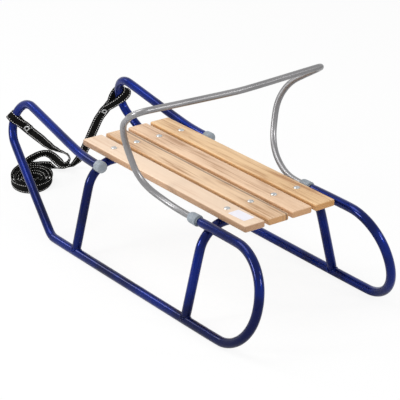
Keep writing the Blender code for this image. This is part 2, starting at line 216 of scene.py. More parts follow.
class Finish(Graph):
    """One procedural material round a Principled shader."""

    def __init__(self, name, settings):
        self.material = bpy.data.materials.new(name)
        super().__init__(self.material, "Material Output")
        self.shader = self.tree.nodes["Principled BSDF"]
        for socket, value in settings.items():
            self.shader.inputs[socket].default_value = value

    def places(self, scale=(1, 1, 1), shift=(0, 0, 0)):
        """Object coordinates in metres, stretched."""
        raw = self.node("ShaderNodeTexCoord", output="Object")
        return self.node("ShaderNodeMapping", {}, {"Vector": raw, "Location": shift, "Scale": scale})

    def noise(self, where, scale, detail=2, roughness=0.5, distortion=0):
        inputs = {"Vector": where, "Scale": scale, "Detail": detail, "Roughness": roughness,
                  "Distortion": distortion}
        return self.node("ShaderNodeTexNoise", {}, inputs, "Fac")

    def blend(self, amount, first, second):
        """Colour between first and second."""
        first, second = (c if isinstance(c, Signal) else (*c, 1) for c in (first, second))
        return self.node("ShaderNodeMix", {"data_type": "RGBA"}, {0: amount, 6: first, 7: second}, 2)

    def feed(self, socket, signal):
        self.tree.links.new(signal.socket, self.shader.inputs[socket])

    def vary(self, amount, name, share):
        """Feeds one of the sled's colours, which goes to a share of its brightness."""
        colour = getattr(bpy.context.scene.sled_colours, name)
        other = tuple(channel * share for channel in colour)
        self.feed("Base Color", self.blend(amount, colour, other))

    def bump(self, height, distance):
        inputs = {"Height": height, "Distance": distance, "Strength": 1}
        self.feed("Normal", self.node("ShaderNodeBump", {}, inputs, "Normal"))


def paint_finish():
    """Deep blue gloss over fine metal flake, a little uneven as sprayed tube is, with painted shade that
    darkens it near the floor.
    """
    colours = bpy.context.scene.sled_colours
    finish = Finish("tube_paint", {"Metallic": 0.6, "Roughness": 0.26, "Specular IOR Level": 0.02,
                                   "Coat Weight": 0.34, "Coat IOR": 1.42})
    where = finish.places()
    cloud = finish.noise(where, 7, 3)
    flake = finish.noise(where, 900, 1)
    # Painted shade: the lowest 0.2 m of tube goes towards the deep blue.
    low = 1 - where.axis(2).ramp(0.01, 0.2)
    depth_and_floor_shade = cloud.ramp(0.38, 0.6) * 0.62 + flake.ramp(0.4, 0.8) * 0.15 + low * 0.16
    finish.feed("Base Color", finish.blend(depth_and_floor_shade, colours.paint, colours.paint_deep_and_shade))
    finish.feed("Roughness", 0.2 + finish.noise(where, 14, 3) * 0.1)
    return finish.material


def silver_finish():
    """Satin silver paint on the hoop."""
    finish = Finish("hoop_paint", {"Metallic": 0.85, "Roughness": 0.24, "Coat Weight": 0.1,
                                   "Coat Roughness": 0.2})
    where = finish.places()
    flake = finish.noise(where, 900, 1).ramp(0.35, 0.7)
    shade = flake * 0.12 + finish.noise(where, 12, 3).ramp(0.3, 0.7) * 0.5
    finish.vary(shade, "silver", 0.62)
    finish.feed("Roughness", 0.3 + finish.noise(where, 18, 3) * 0.06)
    return finish.material


def plastic_finish():
    """Moulded grey plastic with a fine spark-eroded grain."""
    finish = Finish("moulded_grey", {"Roughness": 0.42})
    where = finish.places()
    grain = finish.noise(where, 1500, 3)
    finish.vary(finish.noise(where, 45, 3).ramp(0.3, 0.8), "plastic", 0.8)
    finish.feed("Roughness", 0.36 + grain * 0.16)
    finish.bump(grain, 0.00008)
    return finish.material


# Per slat: top is the wood's own colour, side a darker painted shade for faces that don't look up (and
# the end grain's colour), late the dark grain, contrast its strength, hearts darker figure at (place
# along, reach, strength).
WOODS = [
    {"top": (0.86, 0.66, 0.49), "side": (0.38, 0.2, 0.095), "late": (0.66, 0.43, 0.28), "contrast": 0.55,
     "hearts": [(0.22, 0.09, 0.5), (-0.12, 0.1, 0.3)]},
    {"top": (0.82, 0.58, 0.37), "side": (0.56, 0.3, 0.12), "late": (0.42, 0.22, 0.1), "contrast": 1.15,
     "hearts": [(0.19, 0.1, 0.8), (0.02, 0.06, 0.4), (-0.27, 0.07, 0.9)]},
    {"top": (0.83, 0.58, 0.385), "side": (0.55, 0.31, 0.15), "late": (0.44, 0.24, 0.12), "contrast": 1.2,
     "hearts": [(0.17, 0.09, 0.7), (0, 0.09, 0.5)]},
    {"top": (0.81, 0.55, 0.3), "side": (0.56, 0.29, 0.1), "late": (0.43, 0.21, 0.08), "contrast": 1.3,
     "hearts": [(0.21, 0.09, 0.6), (-0.2, 0.12, 0.7)]},
]


def wood_finish(index, streak_across=None):
    """Varnished softwood: flat-sawn rings, fibres, a warm painted shade on the sides and one dark streak
    where asked.
    """
    wood = WOODS[index]
    finish = Finish(f"slat_wood_{index + 1}", {"Roughness": 0.45, "Specular IOR Level": 0.35,
                                               "Coat Weight": 0.12, "Coat Roughness": 0.25})
    shift = (index * 3.1, index * 0.37, index * 0.11)

    def grain(stretch, *settings):
        return finish.noise(finish.places(stretch, shift), 1, *settings)

    sway = grain((1.7, 7, 7), 3)
    across = finish.places((1, 1, 1), shift).axis(1)
    rings = (across * 430 + sway * 46).wave()
    fibre = grain((11, 420, 420), 4, 0.62)
    cloud = grain((4.5, 34, 34), 4, 0.6)
    blotch = grain((9, 60, 60), 3, 0.6, 0.6)
    streaks = grain((3.4, 110, 110), 5, 0.66)
    late = (rings ** 2) * cloud.ramp(0.4, 0.7) * 0.4
    late = late + fibre.ramp(0.4, 0.8) * 0.3 + blotch.ramp(0.52, 0.78) * 0.4
    late = (late + streaks.ramp(0.5, 0.64) * 0.42) * (0.5 + cloud.ramp(0.42, 0.62) * 0.6)
    along = finish.places().axis(0)
    for place, reach, strength in wood["hearts"]:
        near = 1 - abs(along + (sway - 0.5) * 0.08 - (DATUM.x + place)).ramp(reach * 0.2, reach)
        heart = streaks.ramp(0.42, 0.6) * 0.4 + cloud.ramp(0.35, 0.65) * 0.25
        late = late + near * heart * strength
    base = finish.blend(late * wood["contrast"], wood["top"], wood["late"])
    # Painted shade: faces that don't look up blend to the darker side colour.
    facing = finish.node("ShaderNodeNewGeometry", output="Normal")
    side = 1 - abs(facing.axis(2)).ramp(0.3, 0.9)
    base = finish.blend(side * 0.8, base, wood["side"])
    end = abs(facing.axis(0)).ramp(0.6, 0.95)
    bands = (grain((1, 70, 150), 1) * 60).wave()
    base = finish.blend(end * 0.8, base, finish.blend(bands * 0.5, wood["side"], wood["late"]))
    if streak_across is not None:
        base = streaked(finish, base, streak_across)
    finish.feed("Base Color", base)
    finish.feed("Roughness", 0.38 + fibre * 0.18)
    finish.bump(fibre * 0.6 + rings * 0.4, 0.00012)
    return finish.material


def streaked(finish, base, streak_across):
    """A dark streak along a slat, and a thinner, broken one beside it."""
    across = finish.places().axis(1)
    drift = (finish.noise(finish.places((4, 1, 1)), 1, 3) - 0.5) * 9 * MM
    line = 1 - abs(across + drift - streak_across).ramp(0.8 * MM, 3.6 * MM)
    second = 1 - abs(across + drift * 1.6 - streak_across - 9 * MM).ramp(0.4 * MM, 3 * MM)
    broken = finish.noise(finish.places((6, 1, 1)), 1, 2).ramp(0.4, 0.6)
    base = finish.blend(line * 0.72, base, (0.13, 0.075, 0.045))
    return finish.blend(second * broken * 0.5, base, (0.25, 0.14, 0.07))


def webbing_finish():
    """Herringbone webbing read from the strap's own map: U across, V along, in metres."""
    finish = Finish("strap_webbing", {"Roughness": 0.85, "Specular IOR Level": 0.06})
    unwrapped = finish.node("ShaderNodeUVMap", {"uv_map": "strap"})
    across = unwrapped.axis(0) * 2 * pi
    along = unwrapped.axis(1) * 2 * pi
    slant = (across / (5.5 * MM)).sine() * 1.6
    weft = (along / (1.5 * MM) + slant).wave()
    warp = (across / (1.2 * MM)).wave()
    weave = weft * 0.65 + warp * 0.35
    fuzz = finish.noise(finish.places(), 900, 3)
    finish.vary(weave * fuzz, "webbing", 3)
    finish.feed("Roughness", 0.72 + fuzz * 0.2)
    finish.bump(weave + fuzz * 0.4, 0.00022)
    return finish.material


def thread_finish():
    finish = Finish("sewing_thread", {"Roughness": 0.6})
    twist = finish.noise(finish.places(), 1400, 2)
    finish.vary(twist, "thread", 0.75)
    finish.bump(twist, 0.0002)
    return finish.material


def zinc_finish(name, roughness):
    """Bright plated steel with faint handling marks."""
    finish = Finish(name, {"Metallic": 1, "Roughness": roughness})
    marks = finish.noise(finish.places(), 320, 4, 0.7)
    finish.vary(marks.ramp(0.4, 0.8), "steel", 0.7)
    finish.feed("Roughness", roughness + marks * 0.15)
    finish.bump(marks, 0.00005)
    return finish.material


def paper_finish():
    finish = Finish("label_paper", {"Roughness": 0.35, "Coat Weight": 0.2})
    fibre = finish.noise(finish.places(), 700, 4)
    finish.vary(fibre.ramp(0.4, 0.8), "paper", 0.9)
    finish.bump(fibre, 0.00005)
    return finish.material


def deselect():
    if bpy.context.object and bpy.context.object.mode != "OBJECT":
        bpy.ops.object.mode_set(mode="OBJECT")
    bpy.ops.object.select_all(action="DESELECT")


def take(piece):
    """Makes piece the one selected and active object."""
    deselect()
    piece.select_set(True)
    bpy.context.view_layer.objects.active = piece
    return piece


def added(name, data):
    """A new object of its data, in the scene."""
    piece = bpy.data.objects.new(name, data)
    bpy.context.scene.collection.objects.link(piece)
    return piece


def settle(piece):
    """Puts the piece's place and turn into its mesh."""
    take(piece)
    bpy.ops.object.transform_apply(location=True, rotation=True, scale=True)
    return piece


def dress(piece, name, material, replaced=(), body="frame"):
    """Names, paints and hangs a finished piece on its body."""
    piece.name = name
    piece.data.name = name
    piece.data.materials.clear()
    piece.data.materials.append(material)
    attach(piece, body)
    if replaced:
        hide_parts(*replaced)
    return piece


def apply_modifier(piece, name, kind, **settings):
    take(piece)
    step = piece.modifiers.new(name, kind)
    for key, value in settings.items():
        setattr(step, key, value)
    bpy.ops.object.modifier_apply(modifier=name)


def edit_all(piece):
    """Opens the piece's mesh with all of it selected."""
    take(piece)
    bpy.ops.object.mode_set(mode="EDIT")
    bpy.ops.mesh.select_all(action="SELECT")


def end_edit():
    bpy.ops.object.mode_set(mode="OBJECT")


def heading(direction):
    """The turn that stands a form's Z along a direction."""
    return Vector(direction).to_track_quat("Z", "Y").to_euler()


def stood(form, stands):
    """Copies of a form, each with its own mesh, at (place, turn) pairs; the form itself goes."""
    pieces = []
    for place, turn in stands:
        piece = added("copy", form.data.copy())
        piece.location = place
        piece.rotation_euler = turn
        pieces.append(settle(piece))
    bpy.data.objects.remove(form, do_unlink=True)
    return pieces


def turned(profile, sides=48, closed=False):
    """A form of rings extruded up Z through (height, radius) stations in mm, as on a lathe."""
    deselect()
    profile = [(height * MM, radius * MM) for height, radius in profile]
    height, radius = profile[0]
    bpy.ops.mesh.primitive_circle_add(vertices=sides, radius=radius, location=(0, 0, height))
    form = settle(bpy.context.object)
    edit_all(form)
    if not closed:
        bpy.ops.mesh.edge_face_add()
    for (before, thick), (height, radius) in zip(profile, profile[1:]):
        bpy.ops.mesh.extrude_edges_move(TRANSFORM_OT_translate={"value": (0, 0, height - before)})
        grow = radius / thick
        bpy.ops.transform.resize(value=(grow, grow, 1), center_override=(0, 0, height))
    if not closed:
        bpy.ops.mesh.edge_face_add()
    bpy.ops.mesh.select_all(action="SELECT")
    bpy.ops.mesh.remove_doubles(threshold=0.000001)
    bpy.ops.mesh.normals_make_consistent(inside=False)
    end_edit()
    bpy.ops.object.shade_smooth_by_angle(angle=radians(38))
    return form


def merged_copy(node):
    """A copy of a CAD node with its loose triangles joined into quads."""
    piece = take(added(node, frame["nodes"][node].data.copy()))
    bpy.ops.mesh.customdata_custom_splitnormals_clear()
    edit_all(piece)
    bpy.ops.mesh.remove_doubles(threshold=0.00001)
    bpy.ops.mesh.tris_convert_to_quads(face_threshold=radians(40), shape_threshold=radians(60))
    end_edit()
    return piece


def rounded_tube(piece, radius, sides):
    """Subdivides a faceted tube and gives back the radius that this takes off."""
    apply_modifier(piece, "round", "SUBSURF", levels=2, render_levels=2)
    loss = radius * (1 - cos(2 * pi / sides)) / 3
    edit_all(piece)
    bpy.ops.transform.shrink_fatten(value=loss)
    end_edit()
    bpy.ops.object.shade_smooth()
    return piece


class SLED_OT_side_frames(bpy.types.Operator):
    """Round off the two bent side frames and paint them"""

    bl_idname = "sled.side_frames"
    bl_label = "Side Frames"

    def execute(self, context):
        for hand, _ in SIDES:
            node = f"side_frame_{hand}"
            piece = rounded_tube(merged_copy(node), TUBE_R, TUBE_FACETS)
            dress(piece, f"bent_side_{hand}", context.scene["paint"], [node])
        return {"FINISHED"}


def runner_line(side):
    """Centre of a runner, as its height and distance from the middle."""
    low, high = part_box("side_frame_left")
    return Vector((0, side * (high.y - TUBE_R), low.z + TUBE_R))


SIDE_LEAN = radians(14.3)


def leg_direction(side):
    """Up a leg of an arch from its runner."""
    return Vector((0, -side * sin(SIDE_LEAN), cos(SIDE_LEAN)))


class SLED_OT_arches(bpy.types.Operator):
    """Round off the two arches and seat their feet on the runners"""

    bl_idname = "sled.arches"
    bl_label = "Arches"

    def execute(self, context):
        for node in ARCHES:
            piece = merged_copy(node)
            for _, side in SIDES:
                foot = X * box_middle(node).x + runner_line(side)
                self.reseat_foot(piece, foot, leg_direction(side))
            rounded_tube(piece, TUBE_R, TUBE_FACETS)
            dress(piece, f"bent_{node}", context.scene["paint"], [node])
        return {"FINISHED"}

    @staticmethod
    def reseat_foot(piece, foot, up):
        """Trims a coped foot square and runs it down to the runner's centre line."""
        cut_up = 16 * MM
        take(piece)
        bpy.ops.object.mode_set(mode="EDIT")
        bpy.ops.mesh.select_mode(type="VERT")
        bpy.ops.mesh.select_all(action="DESELECT")
        mesh = bmesh.from_edit_mesh(piece.data)
        for vertex in mesh.verts:
            vertex.select = vertex.co.z < 50 * MM and (vertex.co.y > 0) == (foot.y > 0)
        mesh.select_flush_mode()
        bmesh.update_edit_mesh(piece.data)
        bpy.ops.mesh.select_more()
        bpy.ops.mesh.bisect(plane_co=foot + up * cut_up, plane_no=up, clear_inner=True)
        bpy.ops.mesh.extrude_edges_move(TRANSFORM_OT_translate={"value": -up * (cut_up - 1 * MM)})
        bpy.ops.mesh.edge_face_add()
        end_edit()


class SLED_OT_hoop(bpy.types.Operator):
    """Round off the backrest hoop and paint it silver"""

    bl_idname = "sled.hoop"
    bl_label = "Backrest Hoop"

    def execute(self, context):
        node = "backrest_hoop"
        piece = rounded_tube(merged_copy(node), HOOP_R, HOOP_FACETS)
        dress(piece, "silver_hoop", silver_finish(), [node], "backrest")
        return {"FINISHED"}


class SLED_OT_plastics(bpy.types.Operator):
    """Turn the hoop's collars and the front rails' end caps"""

    bl_idname = "sled.plastics"
    bl_label = "Collars and Caps"

    def execute(self, context):
        grey = plastic_finish()
        collar = turned(self.collar(), closed=True)
        cap = turned(self.cap())
        for form, kind, name, start, way in ((collar, "hoop_collar", "grey_collar", 0, X),
                                             (cap, "front_cap", "grey_cap", CAP_HEAD + 0.3 * MM, -X)):
            stands = []
            for hand, _ in SIDES:
                node = f"{kind}_{hand}"
                middle = box_middle(node)
                stands.append(((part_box(node)[0].x + start, middle.y, middle.z), heading(way)))
            for (hand, _), piece in zip(SIDES, stood(form, stands)):
                dress(piece, f"{name}_{hand}", grey, [f"{kind}_{hand}"])
        return {"FINISHED"}

    @staticmethod
    def collar():
        """Sleeve in the rail, grooved grip and rounded mouth round the hoop's leg."""
        bore = 7.2
        sleeve = 8.2
        head = 12.2
        top = box_size("hoop_collar_left").x / MM
        seat = top - 28
        return [
            (4, bore), (4, sleeve), (seat, sleeve), (seat, head - 0.8), (seat + 0.8, head),
            (seat + 9, head), (seat + 9.6, head - 0.5), (seat + 10.4, head - 0.5),
            (seat + 11, head - 0.1), (top - 7, head - 0.3), (top - 3.2, head - 1.2),
            (top - 1.2, head - 2.4), (top - 0.2, head - 3.8), (top, bore + 0.6), (top - 0.6, bore),
            (4, bore),
        ]

    @staticmethod
    def cap():
        """Plug in the rail's bore and a long head with a rounded, slightly crowned end."""
        plug = 8.1
        width = box_size("front_cap_left").y / 2 / MM
        curve = 5.5
        end = CAP_HEAD / MM + 1
        profile = [(-20, plug), (-2, plug), (-2, width - 1), (-1.3, width - 0.2), (-0.3, width),
                   (end - curve, width)]
        for step in range(1, 8):
            angle = pi / 16 * step
            profile.append((end - curve * (1 - sin(angle)), width - curve * (1 - cos(angle))))
        return profile + [(end + 0.2, 4.5), (end + 0.4, 2), (end + 0.5, 0.6)]


class SLED_OT_slats(bpy.types.Operator):
    """Shape and varnish the four wooden slats"""

    bl_idname = "sled.slats"
    bl_label = "Slats"

    def execute(self, context):
        deselect()
        bpy.ops.mesh.primitive_cube_add(size=1, scale=box_size("slat_1"))
        form = settle(bpy.context.object)
        edit_all(form)
        rounding = sled_sizes().slat_round
        bpy.ops.mesh.bevel(offset=rounding, segments=5, affect="EDGES", profile=0.5)
        end_edit()
        bpy.ops.object.shade_smooth_by_angle(angle=radians(25))
        nodes = [f"slat_{index + 1}" for index in range(len(WOODS))]
        slats = stood(form, [(box_middle(node), (0, 0, 0)) for node in nodes])
        for index, (node, piece) in enumerate(zip(nodes, slats)):
            streak = box_middle(node).y - 19 * MM if index == 1 else None
            dress(piece, f"wood_{node}", wood_finish(index, streak), [node])
        return {"FINISHED"}


class SLED_OT_bolts(bpy.types.Operator):
    """Set a domed bolt wherever a slat lies on an arch"""

    bl_idname = "sled.bolts"
    bl_label = "Bolts"

    def execute(self, context):
        zinc = zinc_finish("bolt_zinc", 0.22)
        rim = sled_sizes().bolt_head / 2 / MM
        base = 0.5
        rise = 2.6
        edge = rim - 0.1
        dome = [(-0.6, rim - 0.6), (0, rim), (base, edge)]
        for step in range(1, 8):
            angle = radians(11) * step
            dome.append((base + rise * sin(angle), edge * cos(angle)))
        spots = [(arch, index + 1) for arch in ARCHES for index in range(len(WOODS))]
        stands = []
        for arch, number in spots:
            place = (box_middle(arch).x, box_middle(f"slat_{number}").y, SEAT_TOP)
            stands.append((place, heading(Z)))
        for (arch, number), piece in zip(spots, stood(turned(dome), stands)):
            dress(piece, f"bolt_{arch}_{number}", zinc)
        return {"FINISHED"}


def ripple(angle, spread):
    """How thick a weld bead is round its ring."""
    return 1 + spread * sin(angle * 26) + 0.5 * spread * sin(angle * 7 + 1.3)


def torus(ring, bead, segments):
    deselect()
    bpy.ops.mesh.primitive_torus_add(major_radius=ring, minor_radius=bead, major_segments=segments,
                                     minor_segments=10)
    bpy.ops.object.shade_smooth()
    return bpy.context.object


class SLED_OT_welds(bpy.types.Operator):
    """Run a rippled weld bead round each leg and under each rail"""

    bl_idname = "sled.welds"
    bl_label = "Weld Beads"

    def execute(self, context):
        bead = sled_sizes().weld_bead
        rail_in = 8.2 * MM
        rail_down = 8.4 * MM
        spots = [(arch, hand, side) for arch in ARCHES for hand, side in SIDES]
        feet = []
        shoulders = []
        for arch, hand, side in spots:
            along = box_middle(arch).x
            feet.append((X * along + runner_line(side), (side * SIDE_LEAN, 0, 0)))
            rail = box_middle(f"front_cap_{hand}")
            touch = (along, rail.y - side * rail_in, rail.z - rail_down)
            shoulders.append((touch, heading((0, side, 1))))
        saddles = stood(self.saddle_bead(bead), feet)
        contacts = stood(self.contact_bead(bead), shoulders)
        for (arch, hand, _), saddle, contact in zip(spots, saddles, contacts):
            dress(saddle, f"weld_{arch}_{hand}", context.scene["paint"])
            dress(contact, f"weld_rail_{arch}_{hand}", context.scene["paint"])
        return {"FINISHED"}

    @staticmethod
    def saddle_bead(bead):
        """A torus bent to the saddle where two equal tubes meet."""
        form = torus(TUBE_R, bead, 120)
        for vertex in form.data.vertices:
            ring = Vector((vertex.co.x, vertex.co.y, 0)).normalized() * TUBE_R
            angle = atan2(-vertex.co.y, vertex.co.x)
            lift = TUBE_R * abs(cos(angle)) * 0.93 + bead * 0.2
            vertex.co = ring * 1.03 + (vertex.co - ring) * ripple(angle, 0.13) + Z * lift
        return form

    @staticmethod
    def contact_bead(bead):
        """A short fillet round the spot where a rail rests on an arch."""
        form = torus(5.5 * MM, bead * 1.1, 60)
        for vertex in form.data.vertices:
            vertex.co = vertex.co * ripple(atan2(vertex.co.y, vertex.co.x), 0.05)
        return form


class SLED_OT_sticker(bpy.types.Operator):
    """Lay a blank white label on the rear end of the left slat"""

    bl_idname = "sled.sticker"
    bl_label = "Blank Label"

    def execute(self, context):
        sizes = sled_sizes()
        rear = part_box("slat_1")[0].x
        place = (rear + 48 * MM, box_middle("slat_1").y - 2 * MM, SEAT_TOP + 0.12 * MM)
        deselect()
        bpy.ops.mesh.primitive_plane_add(size=1, location=place, rotation=(0, 0, radians(3)))
        piece = bpy.context.object
        piece.scale = (sizes.sticker_length, sizes.sticker_width, 1)
        settle(piece)
        edit_all(piece)
        bpy.ops.mesh.bevel(offset=2.5 * MM, segments=5, affect="VERTICES")
        end_edit()
        apply_modifier(piece, "paper", "SOLIDIFY", thickness=0.15 * MM, offset=1)
        dress(piece, "blank_label", paper_finish())
        return {"FINISHED"}


VIEW_TURN = radians(233.65)
VIEW_RISE = radians(23.34)
TO_VIEWER = Vector((sin(VIEW_TURN) * cos(VIEW_RISE),
                    -cos(VIEW_TURN) * cos(VIEW_RISE), sin(VIEW_RISE)))

# Stations of the two runs from the seat's datum in millimetres, after each tab: place, and the webbing's
# turn in degrees from lying face-on in the photo; the pulls are where the tabs point.
LEFT_PULL = Vector((505, 114, 178)) * MM
LEFT_RUN = [
    (521.7, 74, 141, 170), (535.6, 49.9, 118.5, 158), (545.7, 27.8, 99, 135),
    (556.8, 7.5, 84.6, 112), (568.1, -13.1, 71, 104), (581.3, -32.3, 56.7, 98),
    (597.4, -49.6, 40.4, 92), (603, -54.3, 28.9, 88), (599.2, -48.9, 25.5, 70),
    (604.7, -44.8, 20.5, 42), (612.7, -40.2, 19.5, 20), (629, -39.8, 21, 8),
    (644.1, -37.6, 26.5, 12), (654.9, -32.7, 32.5, 30), (661.1, -22.6, 36, 48),
    (666.3, -8.8, 34.5, 50), (667.3, 6.2, 30.5, 48), (665.1, 21, 26.5, 42),
]
RIGHT_PULL = Vector((546.5, -122.8, 159.5)) * MM
RIGHT_RUN = [
    (562.4, -112.5, 131.6, 18), (572.8, -105.8, 104.4, 12), (583.1, -99.2, 77.1, 14),
    (594.3, -92, 49.4, 24), (607, -83, 23.5, 42), (615.5, -74, 10.5, 64),
    (615.8, -59.7, 6.5, 82), (617.6, -46.6, 6, 96), (624.4, -35.3, 6.5, 92),
    (632.6, -27.7, 8.2, 66), (641.7, -22.2, 10.5, 36),
]
TABS = {"left": (46 * MM, LEFT_PULL, LEFT_RUN, 1), "right": (72 * MM, RIGHT_PULL, RIGHT_RUN, -1)}
EYELET_BEFORE_END = 8 * MM
LOOP_MEETS_RUN = {"left": 17 * MM, "right": 33 * MM}
# The right loop hangs slack: millimetres down the tube, ahead of it and inwards
TEARDROP = [(29, 5, 22), (14, -10, 8), (3, -15, -9), (-3, -7, -18), (-4, 6, -17), (2, 13, -6),
            (12, 13, 8)]
ROLL_CENTRE = Vector((602, 50, 0)) * MM
ROLL_LONG = 74 * MM
ROLL_WIDE = 51 * MM
ROLL_TURN = radians(-36.3)
LANDINGS = {"left": radians(50), "right": radians(-12)}
APPROACHES = {"left": 18 * MM, "right": 3 * MM}
OUTER_SHARE = 0.985
ROLL_AHEAD = Vector((cos(ROLL_TURN), sin(ROLL_TURN), 0))
ROLL_ACROSS = Z.cross(ROLL_AHEAD)
CAD_WIDTH = 22 * MM
CAD_THICKNESS = 2 * MM
FLOOR_GAP = 0.3 * MM


def roll_heading(angle):
    """The way round the roll's oval at an angle."""
    along = ROLL_ACROSS * ROLL_WIDE * cos(angle) - ROLL_AHEAD * ROLL_LONG * sin(angle)
    return along.normalized()


def roll_point(angle, share, outward=0):
    """A point of a turn that is this share of the oval's size; inner turns lie nearer one end."""
    out = ROLL_AHEAD * ROLL_LONG * cos(angle) + ROLL_ACROSS * ROLL_WIDE * sin(angle)
    slump = -ROLL_AHEAD * ROLL_LONG * max(0, OUTER_SHARE - share) * 0.5
    middle = ROLL_CENTRE + Z * (CAD_WIDTH / 2 + FLOOR_GAP)
    return middle + out * share + slump + roll_heading(angle).cross(Z) * outward


def roll_landing(angle, approach):
    end = roll_point(angle, 1, CAD_THICKNESS / 2 + FLOOR_GAP)
    return [end - roll_heading(angle) * approach, end]


def curve_through(points, step):
    """Points about a step apart on one smooth curve."""
    padded = [2 * points[0] - points[1], *points, 2 * points[-1] - points[-2]]
    fine = []
    for a, b, c, d in zip(padded, padded[1:], padded[2:], padded[3:]):
        steps = max(1, round((c - b).length / step))
        for index in range(steps):
            t = index / steps
            fine.append(0.5 * (2 * b + (c - a) * t + (2 * a - 5 * b + 4 * c - d) * t ** 2
                               + (3 * b - a - 3 * c + d) * t ** 3))
    fine.append(points[-1].copy())
    return fine


def travel_of(points):
    travel = [0]
    for before, after in zip(points, points[1:]):
        travel.append(travel[-1] + (after - before).length)
    return travel


def tangents_of(points):
    inner = [(after - before).normalized() for before, after in zip(points, points[2:])]
    return [(points[1] - points[0]).normalized(), *inner, (points[-1] - points[-2]).normalized()]


def sections_of(points, width_at):
    """Point, width direction and face direction along a strap; width_at takes the length so far."""
    sections = []
    for point, tangent, so_far in zip(points, tangents_of(points), travel_of(points)):
        width = width_at(so_far, tangent)
        width = (width - width.project(tangent)).normalized()
        sections.append((point, width, tangent.cross(width)))
    return sections


def picture_axes(tangent):
    """Webbing's width directions when it lies flat in the picture and when it points out of it."""
    toward = TO_VIEWER - TO_VIEWER.project(tangent)
    return tangent.cross(TO_VIEWER).normalized(), toward.normalized()


def face_on(tangent, turn):
    """Width direction of webbing turned from lying flat in the picture."""
    flat, toward = picture_axes(tangent)
    return flat * cos(turn) + toward * sin(turn)


def turn_of(tangent, width):
    """The turn that face_on would need for this width direction."""
    flat, toward = picture_axes(tangent)
    return atan2(width.dot(toward), width.dot(flat))


def run_of(start, pull, tab, width, stations, landing):
    """Sections of a run, with the turns eased between its stations."""
    ahead = [start + pull * reach for reach in (0, tab * 0.5, tab, tab + 8 * MM)]
    places = ahead + [Vector(station[:3]) * MM + DATUM for station in stations] + landing
    first = turn_of(pull, width)
    if first < -pi / 2:
        first += 2 * pi
    last = turn_of((landing[-1] - landing[-2]).normalized(), Z)
    turns = [first] * len(ahead)
    turns += [radians(station[3]) for station in stations]
    turns += [last] * len(landing)
    marks = travel_of(places)
    points = curve_through(places, 2.5 * MM)
    share = marks[-1] / travel_of(points)[-1]

    def width_at(so_far, tangent):
        mark = so_far * share
        index = next((k for k in range(1, len(marks)) if marks[k] >= mark), len(marks) - 1)
        part = (mark - marks[index - 1]) / (marks[index] - marks[index - 1])
        part = min(1, max(0, part))
        part = part * part * (3 - 2 * part)
        return face_on(tangent, turns[index - 1] + (turns[index] - turns[index - 1]) * part)

    return lifted(sections_of(points, width_at))


def lifted(sections):
    """Keeps a run and its thread clear of the ground where it lies or turns over."""
    sizes = sled_sizes()
    raised = []
    for point, width, face in sections:
        thread = sizes.strap_thickness / 2 + 0.6 * MM
        reach = abs(width.z) * sizes.strap_width / 2 + abs(face.z) * thread
        raised.append((point + Z * max(0, 0.4 * MM + reach - point.z), width, face))
    return raised


def meshed(mesh):
    """A new smooth piece from mesh code, with its faces outwards."""
    bmesh.ops.recalc_face_normals(mesh, faces=mesh.faces)
    data = bpy.data.meshes.new("strap")
    mesh.to_mesh(data)
    mesh.free()
    data.shade_smooth()
    return added("strap", data)


def webbing(sections):
    """A flat band with rounded selvedges and a map of its own in metres."""
    sizes = sled_sizes()
    half = sizes.strap_width / 2
    thick = sizes.strap_thickness / 2
    edge = 1.1 * MM
    upper = [(half / 3, thick * 0.92), (half - edge, thick), (half - edge * 0.25, thick * 0.7)]
    outline = [(-half, 0), *((-across, up) for across, up in reversed(upper)), *upper, (half, 0)]
    outline += [(across, -up) for across, up in reversed(outline[1:-1])]
    mesh = bmesh.new()
    layer = mesh.loops.layers.uv.new("strap")
    rings = []
    for point, width, face in sections:
        rings.append([mesh.verts.new(point + width * across + face * up) for across, up in outline])
    travel = travel_of([section[0] for section in sections])
    count = len(outline)
    for index, (first, second) in enumerate(zip(rings, rings[1:])):
        for k in range(count):
            follow = (k + 1) % count
            quad = mesh.faces.new((first[k], second[k], second[follow], first[follow]))
            corners = ((k, index), (k, index + 1), (follow, index + 1), (follow, index))
            for loop, (corner, ring) in zip(quad.loops, corners):
                loop[layer].uv = (outline[corner][0], travel[ring])
    mesh.faces.new(rings[0])
    mesh.faces.new(list(reversed(rings[-1])))
    return meshed(mesh)


THREAD_FACETS = 6
# Stations of a stitch: share of its length, thickness and lift off the cloth in thread radii
STITCH = [(0, 0.35, -0.25), (0.2, 0.95, 0.3), (0.5, 1, 0.3), (0.8, 0.95, 0.3), (1, 0.35, -0.25)]


def thread_ring(mesh, row, travel, so_far, radius, lift):
    """Points round the thread at this length along a row."""
    index = next(k for k in range(1, len(travel)) if travel[k] >= so_far)
    (before, face_before), (after, face_after) = row[index - 1], row[index]
    part = (so_far - travel[index - 1]) / (travel[index] - travel[index - 1])
    face = face_before.lerp(face_after, part).normalized()
    side = (after - before).normalized().cross(face)
    centre = before.lerp(after, part) + face * lift
    ring = []
    for k in range(THREAD_FACETS):
        angle = 2 * pi * k / THREAD_FACETS
        ring.append(mesh.verts.new(centre + (side * cos(angle) + face * sin(angle)) * radius))
    return ring


